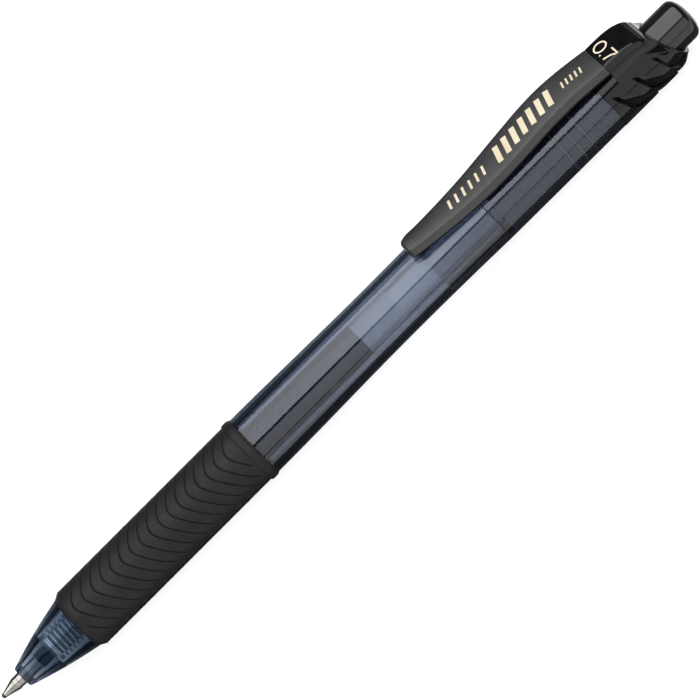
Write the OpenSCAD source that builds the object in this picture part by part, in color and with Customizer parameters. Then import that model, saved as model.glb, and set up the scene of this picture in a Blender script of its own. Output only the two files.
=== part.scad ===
// Retractable gel pen: see-through barrel, rubber grip, long pocket clip, knock button.
// The pen lies along X with its writing tip at -X, its button at +X and its clip up.
// The origin is on the surface that the pen lies on, under the middle of its length.
// Inside the modules, x is measured from the very tip of the ball and z from the pen's axis.

/* [Pen] */
// Length from the ball to the end of the button, with the writing tip out
pen_length = 146; // [145:0.5:150]
// Radius of the grip's collar, on which the pen lies
collar_r = 5.61; // [5.56:0.01:5.8]
// Radial clearance between pieces that slide or turn in each other
running_gap = 0.05; // [0.03:0.01:0.08]

/* [Writing tip and refill] */
// Radius of the ball
ball_r = 0.35; // [0.3:0.05:0.4]
// Radius of the metal shank behind the cone
shank_r = 1.1; // [1.05:0.01:1.15]
// Length of the metal cone
cone_length = 2.82; // [2.5:0.01:3.2]
// Outer radius of the refill tube
refill_r = 2.95; // [2.8:0.01:3.05]
// Wall of the refill tube
refill_wall = 0.5; // [0.4:0.05:0.6]
// Distance from the ball to the refill's rear end
refill_length = 110; // [109.5:0.1:110]
// Where the ink ends and the clear follower begins
ink_end_x = 76.2; // [60:0.1:95]
// Length of the clear follower behind the ink
follower_length = 7.6; // [5:0.1:9]

/* [Barrel] */
// Where the barrel's mouth is, behind the ball
mouth_x = 4.36; // [4.2:0.01:4.5]
// Outer radius at the mouth
mouth_r = 1.81; // [1.75:0.01:1.9]
// Outer radius of the nose where it meets the grip
nose_rear_r = 4.81; // [4.75:0.01:4.85]
// Outer radius just behind the grip
shoulder_r = 5.36; // [5.3:0.01:5.4]
// Smallest outer radius, at the waist
waist_r = 5.05; // [5:0.01:5.2]
// Where the waist is
waist_x = 82.5; // [80:0.5:85]
// Where the two halves of the barrel meet
seam_x = 103.2; // [103:0.1:104]
// Outer radius at the seam
seam_r = 5.32; // [5.28:0.01:5.36]
// Bore radius of the front barrel
bore_r = 4.0; // [3.9:0.01:4.05]

/* [Grip] */
// Where the grip begins
grip_front_x = 15.88; // [15.5:0.01:16]
// Where the grip ends
grip_rear_x = 53.7; // [53:0.1:54]
// Outer radius of the grip's straight part
grip_r = 5.35; // [5.3:0.01:5.38]

/* [Clip] */
// Where the clip's free end is
clip_tip_x = 90.45; // [90:0.05:92]
// Where the clip meets the cap
clip_root_x = 130.6; // [130.5:0.1:130.8]
// Thickness of the clip
clip_thick = 1.55; // [1.4:0.05:1.6]
// How far the clip's bevels reach down
bevel_drop = 1.1; // [0.8:0.05:1.2]
// How far the clip's bevels reach out on each side
bevel_out = 0.65; // [0.4:0.05:0.7]

/* [Cap and button] */
// Where the cap begins
cap_front_x = 127.4; // [127.2:0.1:127.6]
// Outer radius of the cap
cap_r = 5.5; // [5.46:0.01:5.54]
// Radius of the knock button
button_r = 3.64; // [3.55:0.01:3.68]
// Radius of the round edge at the button's end
button_round = 1.5; // [1:0.1:1.8]

/* [Hidden] */
$fn = 96;

// How far past a face a cut runs
over = 1;
// Where ribs start before they are trimmed, away from the axis
rib_start_r = 1.5;
// Gap between pieces that are pressed or glued together
seat_gap = 0.01;

// Nose: the guide bore behind the mouth, then a cone up to the spring's seat
guide_end_x = 5.64;
spring_seat_x = 10.43;
nose_bore_front_r = 1.55;
nose_bore_rear_r = 2.1;
spring_bore_front_r = 2.85;
spring_bore_rear_r = 3.4;
full_bore_x = 22;
// How far the nose's outline bulges beyond a straight cone
nose_bulge = 0.22;

// The barrel is thinner under the grip
neck_r = 4.55;
grip_front_r = 4.73;
grip_straight_x = 17;
grip_straight_rear_x = 51.9;
collar_x = 52.24;
collar_rear_x = 53.2;

// Socket of the front barrel, for the threaded spigot of the rear barrel
spigot_front_x = 91.4;
socket_r = 4.47;
spigot_r = 4.38;
spigot_bore_r = 3.5;
thread_pitch = 1.5;
thread_front_x = 96;
thread_turns = 4;
thread_width = 0.6;

// Rear barrel and the sleeve that snaps into it
rear_middle_x = 115;
rear_middle_r = 5.39;
rear_end_r = 5.45;
rear_bore_r = 4.42;
sleeve_x = 104.5;
sleeve_rear_x = 129.4;
sleeve_r = 4.34;
sleeve_bore_r = 3.35;
ring_x = [117.7, 119.75, 121.75];
ring_width = 0.45;
ring_r = 4.85;
ring_gap = 0.08;
guide_rib_front_x = 115.7;
guide_rib_rear_x = 127;
guide_rib_r = 3.12;
guide_rib_root_r = sleeve_bore_r + 0.1;
guide_rib_width = 1.2;
guide_ribs = 4;

// Return spring, held between the barrel's seat and the refill's flange
spring_r = 2.4;
spring_wire_r = 0.165;
spring_rear_x = 33.9;
spring_turns = 31;

// Tip holder
holder_x = 8;
holder_r = 1.3;
holder_body_x = 12;
holder_body_r = 1.9;
flange_r = 2.75;
flange_length = 1.2;
holder_bore_r = 0.8;
plug_in_x = 41.2;
shank_end_x = 12.5;
shank_plug_r = 0.95;

// Refill tube and its tail plug
tube_front_x = spring_rear_x + flange_length;
tube_rear_x = 108.5;
tube_bore_r = refill_r - refill_wall;
tail_plug_x = 105.5;
vent_r = 0.5;

// Ball and its spring, inside the cone
socket_gap = 0.01;
socket_lip_x = 0.24;
seat_x = 0.72;
ink_hole_r = 0.16;
channel_r = 0.4;
ball_spring_x = 0.86;
ball_spring_end_x = 4.4;
ball_spring_r = 0.24;
ball_spring_wire_r = 0.05;

// Cam rotor and push rod
teeth = 8;
tooth_height = 0.9;
rotor_x = refill_length + 0.05;
rotor_tooth_x = 115.4;
rotor_r = 2.3;
rotor_rib_r = 3.0;
rotor_rib_width = 1.1;
rotor_rib_front_x = 111.5;
rotor_rib_rear_x = 115.3;
rotor_stem_r = 1.2;
rotor_stem_rear_x = 121;
tooth_gap = 0.1;
rod_x = rotor_tooth_x + tooth_gap;
rod_r = 2.85;
rod_bore_r = 1.5;
rod_rear_x = 136;

// Button
button_flange_x = 131.2;
button_flange_length = 0.8;
button_flange_r = 4.05;
button_hole_rear_x = 137;
// The button's end is slightly domed, up to a small flat
button_dome = 0.25;
button_round_x = pen_length - button_round - button_dome;
button_flat_r = 0.6;

// Cap
cap_cavity_x = 129.6;
cap_cavity_r = 4.15;
cap_hole_x = 138.2;
cap_hole_r = button_r + 0.1;
hood_r = 5.72;
hood_ramp = 2.4;
// The rear rim leans forward at the top; rim_x is where its plane meets the axis
rim_x = 140.76;
rim_lean = 24.4;
rim_r = 4.35;
cap_end_x = 144;

// Tongue of the clip and its slot in the cap, as heights above the axis
tongue_rear_x = 133;
tongue_half_width = 1.8;
tongue_low = 6.1;
tongue_high = 7.0;
tongue_edge = 0.15;

// Stations along the clip's top face: x, height above the axis, half width
clip_stations = [
    [clip_tip_x, 7.6, 0.9],
    [clip_tip_x + 0.25, 7.95, 1.2],
    [clip_tip_x + 1.2, 7.95, 1.5],
    [93.8, 7.7, 1.65],
    [96.5, 7.5, 1.9],
    [100, 7.32, 2.2],
    [104, 7.3, 2.5],
    [108.5, 7.6, 2.78],
    [113.4, 8.1, 2.95],
    [117.5, 8.55, 3.0],
    [121, 8.7, 3.0],
    [124.5, 8.5, 2.9],
    [127.5, 8.1, 2.8],
    [clip_root_x, 7.6, 2.68]
];
// The rib under the clip's free end that grips the pocket
pad_x = 94.4;
pad_length = 1.6;
pad_gap = 0.08;

// ---- helpers ----

// Places a piece that is drawn along the axis from the ball
module placed() translate([-pen_length / 2, 0, collar_r]) children();

// A round solid about the pen's axis, from an outline of [x, radius] points
module lathe(outline)
    rotate([0, 90, 0]) rotate_extrude() polygon([for (p = outline) [p[1], p[0]]]);

// A round bar from x0 to x1
module bar(x0, x1, r) translate([x0, 0, 0]) rotate([0, 90, 0]) cylinder(h = x1 - x0, r = r);

// A round tube from x0 to x1
module tube(x0, x1, r_out, r_in) difference() {
    bar(x0, x1, r_out);
    bar(x0 - over, x1 + over, r_in);
}

// Ribs that run along the pen, from near the axis out past the pen's own radius
module ribs(count, x0, x1, width)
    for (i = [0 : count - 1])
        rotate([i * 360 / count, 0, 0])
            translate([x0, -width / 2, rib_start_r]) cube([x1 - x0, width, collar_r]);

// V-shaped cuts across a tube's end face at x; side is 1 for a face towards +X
module tooth_cuts(x, side, r, turn)
    for (i = [0 : teeth - 1])
        rotate([turn + i * 360 / teeth, 0, 0])
            translate([x, 0, 0])
                linear_extrude(height = r + over)
                    polygon([
                        [-side * tooth_height, 0],
                        [side * 0.02, r * tan(180 / teeth)],
                        [side * 0.02, -r * tan(180 / teeth)]
                    ]);

// A wire of radius wire_r wound round the axis; its end turns are closer together
function coil_x(t, turns, x0, x1) =
    let (closed = 2, tight = 0.5, share = turns * t)
    let (ends = closed * tight / turns)
    let (middle = (1 - 2 * ends) / (turns - 2 * closed))
    let (along = share < closed ? share * tight / turns
        : share > turns - closed ? 1 - (turns - share) * tight / turns
        : ends + (share - closed) * middle)
    x0 + (x1 - x0) * along;

module coil(x0, x1, r, wire_r, turns, steps, sides) {
    count = turns * steps;
    points = [
        for (i = [0 : count])
            let (a = 360 * i / steps, x = coil_x(i / count, turns, x0, x1))
            for (j = [0 : sides - 1])
                let (b = 360 * j / sides, ring = r + wire_r * cos(b))
                [x + wire_r * sin(b), ring * cos(a), ring * sin(a)]
    ];
    walls = [
        for (i = [0 : count - 1]) for (j = [0 : sides - 1])
            let (k = (j + 1) % sides)
            [i * sides + j, i * sides + k, (i + 1) * sides + k, (i + 1) * sides + j]
    ];
    front = [for (j = [sides - 1 : -1 : 0]) j];
    rear = [for (j = [0 : sides - 1]) count * sides + j];
    polyhedron(points, concat([front], walls, [rear]), convexity = 8);
}

// ---- barrel ----

// Outer radius of the nose: a cone with a slight bulge
function nose_r(x) =
    let (t = (x - mouth_x) / (grip_front_x - mouth_x))
    mouth_r + (nose_rear_r - mouth_r) * t + nose_bulge * sin(180 * t);

// Outer radius of the front barrel behind the grip
function body_r(x) = x < waist_x
    ? let (t = (waist_x - x) / (waist_x - grip_rear_x))
        waist_r + (shoulder_r - waist_r) * (1 - cos(180 * t)) / 2
    : let (t = (x - waist_x) / (seam_x - waist_x))
        waist_r + (seam_r - waist_r) * pow(t, 2);

module front_barrel() color([0.18, 0.23, 0.32, 0.6]) placed() difference() {
    lathe(concat(
        [[mouth_x, 0]],
        [for (i = [0 : 10]) let (x = mouth_x + (grip_front_x - mouth_x) * i / 10) [x, nose_r(x)]],
        [[grip_front_x, neck_r], [grip_rear_x, neck_r]],
        [for (i = [0 : 24]) let (x = grip_rear_x + (seam_x - grip_rear_x) * i / 24) [x, body_r(x)]],
        [[seam_x, 0]]
    ));
    lathe([
        [mouth_x - over, 0],
        [mouth_x - over, shank_r + running_gap],
        [guide_end_x, shank_r + running_gap],
        [guide_end_x, nose_bore_front_r],
        [spring_seat_x, nose_bore_rear_r],
        [spring_seat_x, spring_bore_front_r],
        [grip_front_x, spring_bore_rear_r],
        [full_bore_x, bore_r],
        [spigot_front_x - 0.1, bore_r],
        [spigot_front_x - 0.1, socket_r],
        [seam_x + over, socket_r],
        [seam_x + over, 0]
    ]);
}

module rubber_grip() color([0.16, 0.15, 0.16]) placed() difference() {
    lathe([
        [grip_front_x, 0],
        [grip_front_x, grip_front_r],
        [grip_straight_x, grip_r],
        [grip_straight_rear_x, grip_r],
        [collar_x, collar_r],
        [collar_rear_x, collar_r],
        [grip_rear_x, grip_r],
        [grip_rear_x, 0]
    ]);
    bar(grip_front_x - over, grip_rear_x + over, neck_r + seat_gap);
}

module return_spring() color("silver") placed()
    coil(spring_seat_x + spring_wire_r + 0.01, spring_rear_x - spring_wire_r - 0.01,
        spring_r, spring_wire_r, spring_turns, 12, 6);

// ---- writing tip and refill ----

module tip_ball() color("gray") placed() translate([ball_r, 0, 0]) sphere(r = ball_r);

module ball_spring() color("silver") placed()
    coil(ball_spring_x, ball_spring_end_x, ball_spring_r, ball_spring_wire_r, 10, 8, 4);

module tip_cone() color([0.75, 0.74, 0.72]) placed() difference() {
    lathe([
        [socket_lip_x, 0],
        [socket_lip_x, ball_r + 0.04],
        [0.7, 0.5],
        [cone_length, shank_r],
        [holder_x, shank_r],
        [holder_x, shank_plug_r],
        [shank_end_x, shank_plug_r],
        [shank_end_x, 0]
    ]);
    bar(socket_lip_x - over, seat_x, ball_r + socket_gap);
    bar(seat_x - over, ball_spring_x, ink_hole_r);
    bar(ball_spring_x - 0.06, shank_end_x + over, channel_r);
}

module tip_holder() color([0.13, 0.15, 0.2]) placed() difference() {
    lathe([
        [holder_x, 0],
        [holder_x, holder_r],
        [holder_x + 2.2, holder_r],
        [holder_body_x, holder_body_r],
        [spring_rear_x, holder_body_r],
        [spring_rear_x, flange_r],
        [tube_front_x, flange_r],
        [tube_front_x, tube_bore_r - seat_gap],
        [plug_in_x, tube_bore_r - seat_gap],
        [plug_in_x, 0]
    ]);
    bar(holder_x - over, shank_end_x, shank_plug_r + seat_gap);
    bar(shank_end_x - over, plug_in_x + over, holder_bore_r);
}

module refill_tube() color([0.8, 0.82, 0.85, 0.5]) placed()
    tube(tube_front_x, tube_rear_x, refill_r, tube_bore_r);

module ink_column() color([0.05, 0.05, 0.08]) placed()
    bar(plug_in_x, ink_end_x, tube_bore_r - seat_gap);

module ink_follower() color([0.8, 0.82, 0.8, 0.5]) placed()
    bar(ink_end_x, ink_end_x + follower_length, tube_bore_r - seat_gap);

module tail_plug() color([0.3, 0.32, 0.36]) placed() difference() {
    union() {
        bar(tail_plug_x, tube_rear_x, tube_bore_r - seat_gap);
        bar(tube_rear_x, refill_length, refill_r);
    }
    bar(tail_plug_x - over, refill_length + over, vent_r);
}

// ---- knock mechanism ----

module cam_rotor() color([0.85, 0.85, 0.82]) placed() {
    difference() {
        union() {
            bar(rotor_x, rotor_tooth_x, rotor_r);
            intersection() {
                ribs(guide_ribs, rotor_rib_front_x, rotor_rib_rear_x, rotor_rib_width);
                bar(rotor_x, rotor_tooth_x, rotor_rib_r);
            }
        }
        tooth_cuts(rotor_tooth_x, 1, rotor_r, 0);
    }
    bar(rotor_tooth_x - tooth_height - 0.1, rotor_stem_rear_x, rotor_stem_r);
}

module push_rod() color([0.2, 0.2, 0.22]) placed() difference() {
    tube(rod_x, rod_rear_x, rod_r, rod_bore_r);
    tooth_cuts(rod_x, -1, rod_r, 180 / teeth);
}

module knock_button() color([0.1, 0.1, 0.11]) placed() difference() {
    lathe(concat(
        [
            [button_flange_x, 0],
            [button_flange_x, button_flange_r],
            [button_flange_x + button_flange_length, button_flange_r],
            [button_flange_x + button_flange_length, button_r],
            [button_round_x, button_r]
        ],
        [for (a = [15 : 15 : 90]) [
            button_round_x + button_round * sin(a),
            button_r - button_round * (1 - cos(a))
        ]],
        [[pen_length, button_flat_r], [pen_length, 0]]
    ));
    bar(button_flange_x - over, button_hole_rear_x, rod_r + seat_gap);
}

module cam_sleeve() color([0.25, 0.26, 0.28]) placed() {
    difference() {
        union() {
            bar(sleeve_x, sleeve_rear_x, sleeve_r);
            for (x = ring_x) bar(x - ring_width / 2, x + ring_width / 2, ring_r);
        }
        bar(sleeve_x - over, sleeve_rear_x + over, sleeve_bore_r);
    }
    difference() {
        intersection() {
            ribs(guide_ribs, guide_rib_front_x, guide_rib_rear_x, guide_rib_width);
            bar(guide_rib_front_x, guide_rib_rear_x, guide_rib_root_r);
        }
        bar(guide_rib_front_x - over, guide_rib_rear_x + over, guide_rib_r);
    }
}

// ---- rear half ----

module rear_barrel() color([0.18, 0.23, 0.32, 0.6]) placed() difference() {
    union() {
        lathe([
            [seam_x, 0],
            [seam_x, seam_r],
            [rear_middle_x, rear_middle_r],
            [cap_front_x, rear_end_r],
            [cap_front_x, 0]
        ]);
        bar(spigot_front_x, seam_x + over, spigot_r);
        for (i = [0 : thread_turns - 1])
            bar(thread_front_x + i * thread_pitch, thread_front_x + i * thread_pitch + thread_width,
                socket_r - 0.03);
    }
    bar(spigot_front_x - over, sleeve_x, spigot_bore_r);
    bar(sleeve_x - 0.1, cap_front_x + over, rear_bore_r);
    for (x = ring_x)
        bar(x - ring_width / 2 - ring_gap, x + ring_width / 2 + ring_gap, ring_r + running_gap);
}

// Cross-section of the clip at a station, as points round the outline
function clip_section(x, high, half, low) = [
    [x, -half, high],
    [x, -half - bevel_out, high - bevel_drop],
    [x, -half - bevel_out + 0.1, low + 0.12],
    [x, -half - bevel_out + 0.4, low],
    [x, half + bevel_out - 0.4, low],
    [x, half + bevel_out - 0.1, low + 0.12],
    [x, half + bevel_out, high - bevel_drop],
    [x, half, high]
];

// Height of the clip's underside: level with its top, and lower at the pad
function clip_low(x, high) =
    let (away = (x - pad_x) / pad_length)
    let (plain = high - clip_thick)
    let (pad_low = body_r(pad_x) + pad_gap)
    plain - (plain - pad_low) * (abs(away) < 1 ? pow(cos(90 * away), 2) : 0);

// Height and half width of the clip between stations
function clip_at(x, i = 0) =
    x <= clip_stations[i + 1][0] || i == len(clip_stations) - 2
        ? let (a = clip_stations[i], b = clip_stations[i + 1])
            let (t = (x - a[0]) / (b[0] - a[0]))
            [a[1] + (b[1] - a[1]) * t, a[2] + (b[2] - a[2]) * t]
        : clip_at(x, i + 1);

module pocket_clip() color([0.2, 0.2, 0.21]) placed() {
    pad_stations = [for (i = [-4 : 4]) pad_x + pad_length * i / 4];
    xs = concat(
        [for (s = clip_stations) if (s[0] < pad_x - pad_length) s[0]],
        pad_stations,
        [for (s = clip_stations) if (s[0] > pad_x + pad_length) s[0]]
    );
    sections = concat(
        [for (x = xs) let (c = clip_at(x)) clip_section(x, c[0], c[1], clip_low(x, c[0]))],
        [[for (x = [clip_root_x, tongue_rear_x]) for (p = [
            [-tongue_half_width + tongue_edge, tongue_high],
            [-tongue_half_width, tongue_high - tongue_edge],
            [-tongue_half_width, tongue_low + tongue_edge],
            [-tongue_half_width + tongue_edge, tongue_low],
            [tongue_half_width - tongue_edge, tongue_low],
            [tongue_half_width, tongue_low + tongue_edge],
            [tongue_half_width, tongue_high - tongue_edge],
            [tongue_half_width - tongue_edge, tongue_high]
        ]) [x, p[0], p[1]]]]
    );
    points = [for (s = sections) each s];
    n = 8;
    count = len(points) / n;
    walls = [
        for (i = [0 : count - 2]) for (j = [0 : n - 1])
            let (k = (j + 1) % n)
            [i * n + j, i * n + k, (i + 1) * n + k, (i + 1) * n + j]
    ];
    polyhedron(points, concat(
        [[for (j = [n - 1 : -1 : 0]) j]],
        walls,
        [[for (j = [0 : n - 1]) (count - 1) * n + j]]
    ), convexity = 6);
}

// Side view of the cap's hump, which carries the clip's line on to the button
hump_outline = [
    [clip_root_x + 0.05, 3],
    [clip_root_x + 0.05, 7.58],
    [132.6, 7.56],
    [134.7, 7.38],
    [136.6, 6.8],
    [137.5, 6.22],
    [138.1, 5.55],
    [138.6, 4.75],
    [138.9, 4.3],
    [139.4, 4],
    [139.4, 3]
];

// Side view of the hood, the raised layer that sweeps from the clip down to the rear rim
hood_outline = [
    [clip_root_x + 0.05, 9],
    [clip_root_x + 0.05, 5.5],
    [133, 5.25],
    [135.1, 4.6],
    [137.8, 3.4],
    [139.4, 2.2],
    [140.6, 1.1],
    [142.2, -0.4],
    [cap_end_x, -1],
    [cap_end_x, 9]
];

// Side view of one claw-shaped pocket, from its narrow start down to its wide end
claw_outline = [[0, 3.2], [0.5, 3.3], [5.4, -2.3], [3.9, -2.6], [2.2, -0.1], [0.9, 1.6]];
claw_x = [128.1, 132.3, 136.4];
claw_floor = 4.85;
claw_reach = 2;

module extruded_across(outline, half)
    translate([0, half, 0]) rotate([90, 0, 0]) linear_extrude(height = 2 * half) polygon(outline);

module cap_hump() intersection() {
    extruded_across(hump_outline, 4);
    rotate([90, 0, 90]) linear_extrude(height = 150)
        polygon([[-3.6, 3], [-3.55, 5.6], [-2.65, 7.6], [2.65, 7.6], [3.55, 5.6], [3.6, 3]]);
}

// Slides each height of a solid that is drawn about the axis, with its rear face at 0, along
// the rim's lean
module leaned() multmatrix([[1, 0, -tan(rim_lean), rim_x], [0, 1, 0, 0], [0, 0, 1, 0]]) children();

// The space under the dome that closes in on the button
module under_dome() leaned() lathe([
    [-30, 0], [-30, 7], [-5, 6.2], [-3.4, 5.7], [-2.2, 5.3], [-1.1, 4.8], [0, rim_r], [0, 0]
]);

module cap_hood() intersection() {
    extruded_across(hood_outline, 8);
    lathe([
        [clip_root_x, 0],
        [clip_root_x, cap_r],
        [clip_root_x + hood_ramp, hood_r],
        [cap_end_x, hood_r],
        [cap_end_x, 0]
    ]);
    under_dome();
}

module cap_body() intersection() {
    bar(cap_front_x, cap_end_x, cap_r);
    under_dome();
}

module tail_cap() color([0.08, 0.08, 0.09]) placed() difference() {
    union() {
        cap_body();
        cap_hood();
        intersection() {
            cap_hump();
            leaned() bar(-30, 0, 12);
        }
    }
    bar(cap_front_x - over, cap_cavity_x, sleeve_r + 0.02);
    bar(cap_cavity_x - 0.01, cap_hole_x, cap_cavity_r);
    bar(cap_hole_x - over, cap_end_x + over, cap_hole_r);
    translate([clip_root_x - over, -tongue_half_width - 0.05, tongue_low - 0.3])
        cube([tongue_rear_x - clip_root_x + over + 0.15,
            2 * tongue_half_width + 0.1,
            tongue_high - tongue_low + 0.33]);
    for (x = claw_x) for (side = [-1, 1])
        translate([x, side * (claw_floor + claw_reach), 0])
            extruded_across(claw_outline, claw_reach);
}

front_barrel();
rubber_grip();
return_spring();
tip_ball();
ball_spring();
tip_cone();
tip_holder();
refill_tube();
ink_column();
ink_follower();
tail_plug();
cam_rotor();
rear_barrel();
cam_sleeve();
tail_cap();
pocket_clip();
push_rod();
knock_button();
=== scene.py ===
"""Looks for the retractable gel pen.

Lengths in the shape functions are millimetres: x runs from the tip of the ball towards the knock
button, y and z are measured from the pen's axis, and +z is the clip's side. Angles round the pen
are measured from the clip's side and grow towards -y, the near side.
"""

import math

import bmesh
import bpy
import numpy as np
from mathutils import Matrix, Vector


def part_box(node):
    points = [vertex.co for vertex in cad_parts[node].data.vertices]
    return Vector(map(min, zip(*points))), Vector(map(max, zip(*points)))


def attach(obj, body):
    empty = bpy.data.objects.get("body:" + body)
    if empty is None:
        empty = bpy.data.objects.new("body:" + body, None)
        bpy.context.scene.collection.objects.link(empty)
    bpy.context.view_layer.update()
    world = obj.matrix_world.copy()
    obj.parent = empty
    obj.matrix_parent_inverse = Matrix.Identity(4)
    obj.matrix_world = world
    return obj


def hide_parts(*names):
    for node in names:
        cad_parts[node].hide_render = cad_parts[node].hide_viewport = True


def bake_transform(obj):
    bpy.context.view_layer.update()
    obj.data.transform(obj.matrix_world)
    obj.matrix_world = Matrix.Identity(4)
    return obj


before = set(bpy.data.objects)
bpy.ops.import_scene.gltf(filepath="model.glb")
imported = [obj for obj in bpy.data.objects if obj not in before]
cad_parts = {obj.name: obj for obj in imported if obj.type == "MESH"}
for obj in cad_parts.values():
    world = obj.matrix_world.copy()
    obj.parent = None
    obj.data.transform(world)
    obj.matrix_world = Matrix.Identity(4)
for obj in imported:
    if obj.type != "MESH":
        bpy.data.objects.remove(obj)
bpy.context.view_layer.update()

MM = 0.001
TIP_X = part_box("tip_ball")[0].x
BARREL_LOW, BARREL_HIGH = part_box("front_barrel")
AXIS_Z = (BARREL_LOW.z + BARREL_HIGH.z) / 2
PEN_LENGTH = (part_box("knock_button")[1].x - TIP_X) / MM

SIDES = 256  # around a smooth round surface
EDGE = 0.06  # radius of an ordinary moulded edge


def node_x(node):
    """Where a CAD node begins and ends along the pen, in pen millimetres."""
    low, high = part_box(node)
    return (low.x - TIP_X) / MM, (high.x - TIP_X) / MM


def node_r(node):
    """Outer radius of a round CAD node."""
    low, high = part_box(node)
    return (high.y - low.y) / 2 / MM


# ---- places along the pen ----

MOUTH_X, SEAM_X = node_x("front_barrel")
GRIP_X, GRIP_END_X = node_x("rubber_grip")
SPIGOT_X, CAP_X = node_x("rear_barrel")
SLEEVE_X, SLEEVE_END_X = node_x("cam_sleeve")
HOLDER_X, HOLDER_END_X = node_x("tip_holder")
TUBE_X, TUBE_END_X = node_x("refill_tube")
INK_X, INK_END_X = node_x("ink_column")
FOLLOWER_END_X = node_x("ink_follower")[1]
CLIP_X, CLIP_END_X = node_x("pocket_clip")
BUTTON_X = node_x("knock_button")[0]

MOUTH_R, MOUTH_BORE_R = 1.81, 1.15
NOSE_R, NOSE_BULGE = 4.81, 0.22
NECK_R = 4.55
GRIP_R = 5.35
GRIP_FRONT_R = 4.73
COLLAR_R = node_r("rubber_grip")
SHOULDER_R = 5.36
WAIST_X, WAIST_R = 82.5, 5.05
SEAM_R = 5.32
REAR_R = node_r("rear_barrel")
BORE_X, BORE_R = 22.0, 4.0  # the front barrel's straight bore and where it begins
SOCKET_X, SOCKET_R = 91.3, 4.47  # the threaded socket at its rear
SPIGOT_R, SPIGOT_BORE_R = 4.38, 3.5
THREAD_X, THREAD_PITCH, THREADS, THREAD_HEIGHT = 96.0, 1.5, 4, 0.06
REAR_BORE_R = 4.42
TUBE_R = node_r("refill_tube")
TUBE_BORE_R = TUBE_R - 0.5
SHANK_R, SHANK_BORE_R = 1.1, 0.95
SHANK_END_X = 12.5
HOLDER_BORE_R = 0.96
SPRING_SEAT_X = 10.43
FLANGE_X, FLANGE_R = 33.9, 2.75
SLEEVE_R, SLEEVE_BORE_R = 4.34, 3.35
RING_X = (117.7, 119.75, 121.75)  # the sleeve's rings, which snap into the rear barrel
RING_R, RING_HALF = 4.905, 0.22

CLIP_ROOT_X = 130.6
CAP_R = 5.5
RIM_X = 140.76
RIM_LEAN = math.tan(math.radians(24.4))
RIM_R = 4.3
HOOD_RAISE = 0.22
BUTTON_R = 3.64


# ---- mesh helpers ----


def add_piece(name, points, faces, body, slot, material, replaces=(), sharp=35):
    """One mesh piece from points in pen millimetres, riding on a CAD body."""
    mesh = bpy.data.meshes.new(name)
    placed = np.asarray(points, dtype=float) * MM + np.array([TIP_X, 0, AXIS_Z])
    mesh.from_pydata(placed.tolist(), [], faces)
    work = bmesh.new()
    work.from_mesh(mesh)
    bmesh.ops.recalc_face_normals(work, faces=work.faces)
    work.to_mesh(mesh)
    work.free()
    mesh.shade_smooth()
    mesh.set_sharp_from_angle(angle=math.radians(sharp))
    mesh.materials.append(material)
    piece = bpy.data.objects.new(name, mesh)
    bpy.context.scene.collection.objects.link(piece)
    if body:
        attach(piece, body)
    if replaces:
        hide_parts(*replaces)
    return piece


def filleted(corners, steps=5):
    """A closed outline from (a, b) or (a, b, fillet) corners, with a curve at each fillet."""
    outline = []
    for i, (a, b, *given) in enumerate(corners):
        fillet = given[0] if given else EDGE
        here = Vector((a, b))
        if fillet == 0:
            outline.append((a, b))
            continue
        back = Vector(corners[i - 1][:2]) - here
        ahead = Vector(corners[(i + 1) % len(corners)][:2]) - here
        reach = fillet / max(math.tan(back.angle(ahead) / 2), 0.2)
        start = here + back.normalized() * min(reach, 0.45 * back.length)
        end = here + ahead.normalized() * min(reach, 0.45 * ahead.length)
        for k in range(steps + 1):
            t = k / steps
            outline.append(tuple(start * (1 - t) ** 2 + here * 2 * t * (1 - t) + end * t * t))
    return outline


def joined_rings(rings):
    """Quads between neighbouring rings of vertex numbers, round and round; a ring of one is a pole."""
    faces = []
    for a, b in rings:
        count = max(len(a), len(b))
        for j in range(count):
            k = (j + 1) % count
            corners = [a[j % len(a)], a[k % len(a)], b[k % len(b)], b[j % len(b)]]
            corners = list(dict.fromkeys(corners))
            if len(corners) > 2:
                faces.append(corners)
    return faces


def lathe(outline, sides=SIDES):
    """Points and faces of a round solid from a closed outline of (x, radius)."""
    points, rings = [], []
    for x, r in outline:
        start = len(points)
        if r < 1e-6:
            points.append((x, 0, 0))
        else:
            turn = np.arange(sides) * 2 * math.pi / sides
            points += zip([x] * sides, r * np.sin(turn), r * np.cos(turn))
        rings.append(range(start, len(points)))
    return points, joined_rings(zip(rings, rings[1:] + rings[:1]))


def add_lathe(name, corners, body, slot, material, replaces=(), sides=SIDES, sharp=35):
    """A round piece from the corners of its outline."""
    points, faces = lathe(filleted(corners), sides)
    return add_piece(name, points, faces, body, slot, material, replaces, sharp)


def loft(sections):
    """Points and faces of a closed solid through sections of equal length, with flat ends."""
    count = len(sections[0])
    points = [p for section in sections for p in section]
    rings = [range(i * count, (i + 1) * count) for i in range(len(sections))]
    faces = joined_rings(zip(rings, rings[1:]))
    return points, faces + [list(rings[0]), list(rings[-1])]


def joined(*solids):
    """Several solids' points and faces as one mesh."""
    points, faces = [], []
    for more_points, more_faces in solids:
        start = len(points)
        points += list(more_points)
        faces += [[start + i for i in face] for face in more_faces]
    return points, faces


def smooth_step(t):
    """Rises smoothly from 0 to 1 while t does."""
    t = np.clip(t, 0, 1)
    return t * t * (3 - 2 * t)


def smooth_max(a, b, width):
    """The larger of two values, with the corner between them rounded."""
    return (a + b + np.sqrt((a - b) ** 2 + width**2)) / 2


def smooth_min(a, b, width):
    """The smaller of two values, with the corner between them rounded."""
    return (a + b - np.sqrt((a - b) ** 2 + width**2)) / 2


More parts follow.
